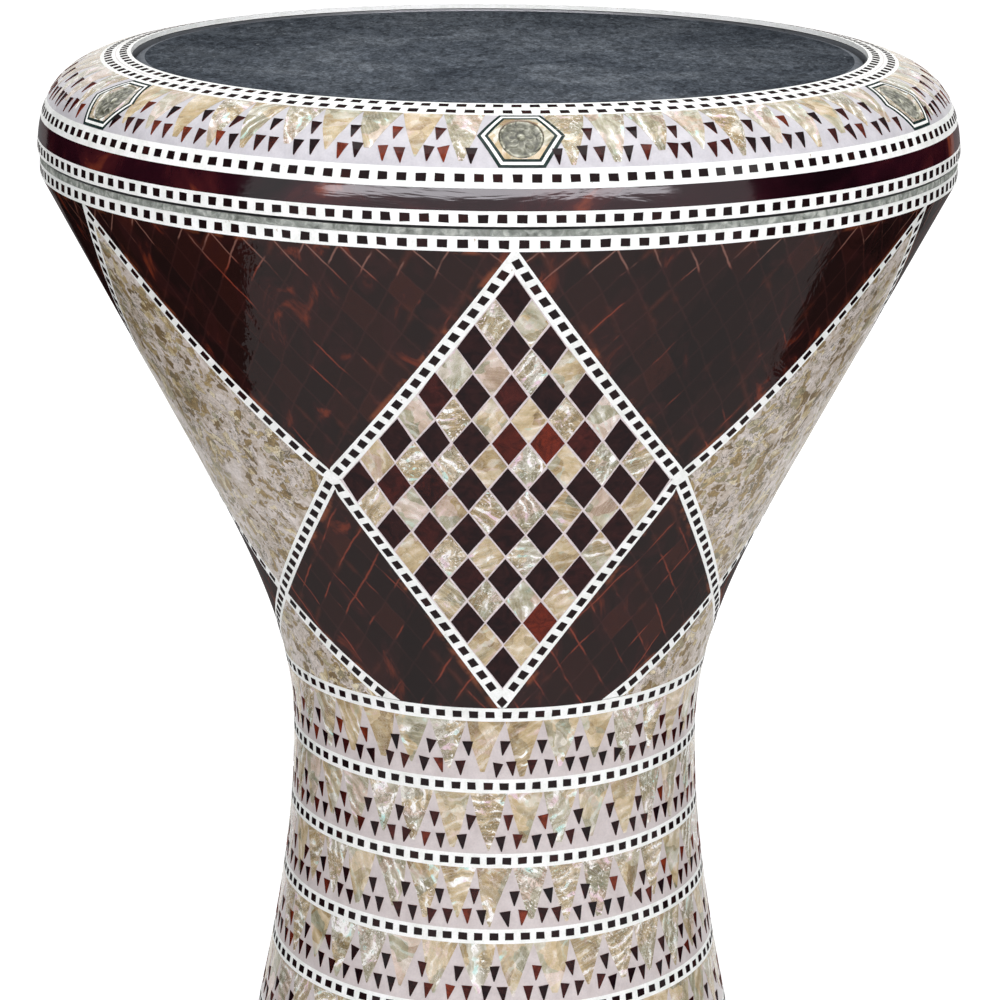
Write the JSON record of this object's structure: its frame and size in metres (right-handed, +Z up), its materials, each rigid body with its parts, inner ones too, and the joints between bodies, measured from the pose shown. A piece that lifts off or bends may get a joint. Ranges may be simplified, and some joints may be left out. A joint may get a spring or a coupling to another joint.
{
  "type": "goblet drum",
  "caption": "Goblet-shaped hand drum: flared foot, waisted neck and bowl of cast metal under bands and diamonds of inlay, with a plastic head under a screwed tension ring.",
  "frame": {"origin": "centre of the foot's ring-shaped rest face, at floor level", "axes": "+Z up the drum's axis to the head; -Y towards the side with the front checkered diamond, which is turned 1.85 degrees towards +X"},
  "size_m": [0.2844, 0.2844, 0.44],
  "materials": {
    "cast_aluminium": "cast, fine grain, unpolished",
    "head_film": "thin charcoal film with faint speckle",
    "screw_steel": "plated socket-head screws",
    "cream_strip": "polished cream strip with dark squares",
    "tortoise_inlay": "polished dark brown with red blotches",
    "pearl_inlay": "polished pearl shell pieces",
    "inlay_resin": "polished pale resin between shell pieces"
  },
  "bodies": {
    "shell": {"shell": "cast_aluminium", "head_film": "head_film", "bowl_top_strip": "cream_strip", "bowl_frame_upper": "cream_strip", "bowl_frame_lower": "cream_strip", "bowl_frame_legs_1": "cream_strip", "bowl_frame_legs_2": "cream_strip", "bowl_frame_legs_3": "cream_strip", "bowl_checker_diamond_1": "pearl_inlay", "bowl_checker_diamond_2": "pearl_inlay", "bowl_checker_diamond_3": "pearl_inlay", "bowl_pearl_diamond_1": "pearl_inlay", "bowl_pearl_diamond_2": "pearl_inlay", "bowl_pearl_diamond_3": "pearl_inlay", "bowl_pearl_triangle_1": "pearl_inlay", "bowl_pearl_triangle_2": "pearl_inlay", "bowl_pearl_triangle_3": "pearl_inlay", "bowl_tortoise_upper_1": "tortoise_inlay", "bowl_tortoise_upper_2": "tortoise_inlay", "bowl_tortoise_upper_3": "tortoise_inlay", "bowl_tortoise_upper_4": "tortoise_inlay", "bowl_tortoise_upper_5": "tortoise_inlay", "bowl_tortoise_upper_6": "tortoise_inlay", "bowl_tortoise_lower_1": "tortoise_inlay", "bowl_tortoise_lower_2": "tortoise_inlay", "bowl_tortoise_lower_3": "tortoise_inlay", "bowl_tortoise_lower_4": "tortoise_inlay", "bowl_tortoise_lower_5": "tortoise_inlay", "bowl_tortoise_lower_6": "tortoise_inlay", "neck_top_strip": "cream_strip", "neck_inlay": "inlay_resin", "neck_low_strip": "cream_strip", "foot_inlay": "tortoise_inlay", "foot_strip": "cream_strip"},
    "rim": {"tension_ring": "cast_aluminium", "head_hoop": "cast_aluminium", "rim_edge_strip": "cream_strip", "rim_tooth_band": "inlay_resin", "rim_mid_strip": "cream_strip", "rim_tortoise_band": "tortoise_inlay", "rim_low_strip": "cream_strip", "rim_medallion_1": "pearl_inlay", "rim_medallion_2": "pearl_inlay", "rim_medallion_3": "pearl_inlay", "rim_medallion_4": "pearl_inlay", "rim_medallion_5": "pearl_inlay", "rim_medallion_6": "pearl_inlay"},
    "bolt_1": {"tuning_bolt_1": "screw_steel"},
    "bolt_2": {"tuning_bolt_2": "screw_steel"},
    "bolt_3": {"tuning_bolt_3": "screw_steel"},
    "bolt_4": {"tuning_bolt_4": "screw_steel"},
    "bolt_5": {"tuning_bolt_5": "screw_steel"},
    "bolt_6": {"tuning_bolt_6": "screw_steel"},
    "bolt_7": {"tuning_bolt_7": "screw_steel"},
    "bolt_8": {"tuning_bolt_8": "screw_steel"}
  },
  "joints": [
    {"name": "ring_travel", "type": "slide", "parent": "shell", "child": "rim", "axis": [0, 0, 1], "range_m": [-0.0006, 0.002]},
    {"name": "bolt_turn_1", "type": "hinge", "parent": "shell", "child": "bolt_1", "pos_m": [0.04745, -0.11456, 0.4037], "axis": [0, 0, 1], "range_deg": [-725, 400]},
    {"name": "bolt_turn_2", "type": "hinge", "parent": "shell", "child": "bolt_2", "pos_m": [0.11456, -0.04745, 0.4037], "axis": [0, 0, 1], "range_deg": [-725, 400]},
    {"name": "bolt_turn_3", "type": "hinge", "parent": "shell", "child": "bolt_3", "pos_m": [0.11456, 0.04745, 0.4037], "axis": [0, 0, 1], "range_deg": [-725, 400]},
    {"name": "bolt_turn_4", "type": "hinge", "parent": "shell", "child": "bolt_4", "pos_m": [0.04745, 0.11456, 0.4037], "axis": [0, 0, 1], "range_deg": [-725, 400]},
    {"name": "bolt_turn_5", "type": "hinge", "parent": "shell", "child": "bolt_5", "pos_m": [-0.04745, 0.11456, 0.4037], "axis": [0, 0, 1], "range_deg": [-725, 400]},
    {"name": "bolt_turn_6", "type": "hinge", "parent": "shell", "child": "bolt_6", "pos_m": [-0.11456, 0.04745, 0.4037], "axis": [0, 0, 1], "range_deg": [-725, 400]},
    {"name": "bolt_turn_7", "type": "hinge", "parent": "shell", "child": "bolt_7", "pos_m": [-0.11456, -0.04745, 0.4037], "axis": [0, 0, 1], "range_deg": [-725, 400]},
    {"name": "bolt_turn_8", "type": "hinge", "parent": "shell", "child": "bolt_8", "pos_m": [-0.04745, -0.11456, 0.4037], "axis": [0, 0, 1], "range_deg": [-725, 400]}
  ],
  "couplings": [
    {"joint": "bolt_turn_1", "follows": "ring_travel", "rad_per_m": -6283.2},
    {"joint": "bolt_turn_2", "follows": "ring_travel", "rad_per_m": -6283.2},
    {"joint": "bolt_turn_3", "follows": "ring_travel", "rad_per_m": -6283.2},
    {"joint": "bolt_turn_4", "follows": "ring_travel", "rad_per_m": -6283.2},
    {"joint": "bolt_turn_5", "follows": "ring_travel", "rad_per_m": -6283.2},
    {"joint": "bolt_turn_6", "follows": "ring_travel", "rad_per_m": -6283.2},
    {"joint": "bolt_turn_7", "follows": "ring_travel", "rad_per_m": -6283.2},
    {"joint": "bolt_turn_8", "follows": "ring_travel", "rad_per_m": -6283.2}
  ]
}
